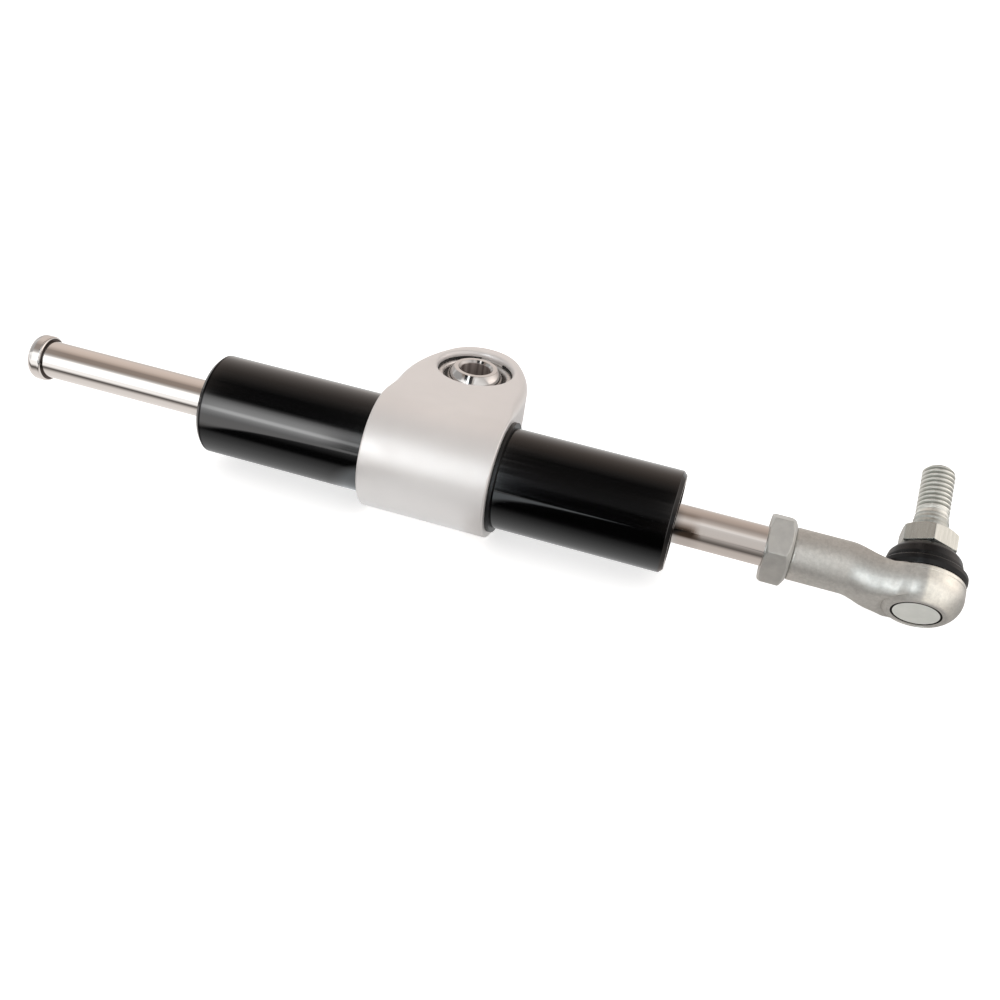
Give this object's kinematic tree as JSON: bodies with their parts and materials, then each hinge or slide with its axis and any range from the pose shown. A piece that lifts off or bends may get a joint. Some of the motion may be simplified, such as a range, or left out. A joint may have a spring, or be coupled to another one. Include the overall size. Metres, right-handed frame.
{
  "type": "motorcycle steering damper",
  "caption": "Linear hydraulic steering damper: black tube on a chrome through rod, clamped in an aluminium sleeve whose lug holds a spherical bearing, with a booted ball joint on the rod.",
  "frame": {"origin": "centre of the spherical bearing in the sleeve's lug", "axes": "+X along the rod towards the ball joint, +Z along the bearing's bore away from the tube's underside"},
  "size_m": [0.2479, 0.0557, 0.0362],
  "materials": {
    "tube_black": "satin black anodised",
    "satin_aluminium": "fine bead blasted",
    "gland_aluminium": "machined",
    "bronze": "machined bronze",
    "rubber": "moulded",
    "boot_rubber": "satin moulded",
    "dark_steel": "black phosphated spring steel",
    "ring_steel": "plain spring steel",
    "bearing_steel": "ground and polished",
    "liner_plastic": "woven sliding liner",
    "chrome": "polished hard chrome",
    "band_plastic": "filled sliding plastic",
    "zinc_nut": "matte zinc plated",
    "zinc_housing": "forged and zinc plated",
    "zinc_plug": "pressed and zinc plated",
    "zinc_stud": "bright zinc plated",
    "seat_plastic": "moulded sliding plastic"
  },
  "bodies": {
    "damper_body": {"damper_tube": "tube_black", "gland_left": "gland_aluminium", "gland_right": "gland_aluminium", "guide_bush_left": "bronze", "guide_bush_right": "bronze", "rod_seal_left": "rubber", "rod_seal_right": "rubber", "wiper_left": "rubber", "wiper_right": "rubber", "gland_oring_left": "rubber", "gland_oring_right": "rubber", "gland_circlip_left": "dark_steel", "gland_circlip_right": "dark_steel", "mount_sleeve": "satin_aluminium", "sleeve_ring_left": "dark_steel", "sleeve_ring_right": "dark_steel", "bearing_race": "bearing_steel", "bearing_snap_ring": "dark_steel"},
    "piston_ring_set": {"piston_band": "band_plastic", "band_energizer": "rubber"},
    "rod_set": {"piston_rod": "chrome", "piston": "bronze", "piston_keeper_left": "dark_steel", "piston_keeper_right": "dark_steel", "stop_cap": "chrome", "lock_nut": "zinc_nut", "joint_housing": "zinc_housing", "ball_seat": "seat_plastic", "joint_plug": "zinc_plug", "boot": "boot_rubber", "boot_lower_ring": "ring_steel"},
    "boot_neck": {"boot_upper_ring": "ring_steel"},
    "stud": {"ball_stud": "zinc_stud"},
    "liner": {"bearing_liner": "liner_plastic"},
    "ball": {"bearing_ball": "bearing_steel"}
  },
  "joints": [
    {"name": "rod_slide", "type": "slide", "parent": "damper_body", "child": "piston_ring_set", "axis": [1, 0, 0], "range_m": [-0.0218, 0.049]},
    {"name": "rod_spin", "type": "hinge", "parent": "piston_ring_set", "child": "rod_set", "pos_m": [0, -0.025, -0.0105], "axis": [1, 0, 0], "continuous": true},
    {"name": "stud_tilt", "type": "hinge", "parent": "rod_set", "child": "boot_neck", "pos_m": [0.12125, -0.025, -0.0105], "axis": [0, 0.5299, -0.848], "range_deg": [-18, 18], "deforming": ["boot"]},
    {"name": "stud_spin", "type": "hinge", "parent": "boot_neck", "child": "stud", "pos_m": [0.12125, -0.025, -0.0105], "axis": [0, 0.848, 0.5299], "continuous": true},
    {"name": "ball_tilt", "type": "hinge", "parent": "damper_body", "child": "liner", "pos_m": [0, 0, 0], "axis": [0, 1, 0], "range_deg": [-8, 8]},
    {"name": "ball_spin", "type": "hinge", "parent": "liner", "child": "ball", "pos_m": [0, 0, 0], "axis": [0, 0, 1], "continuous": true}
  ]
}
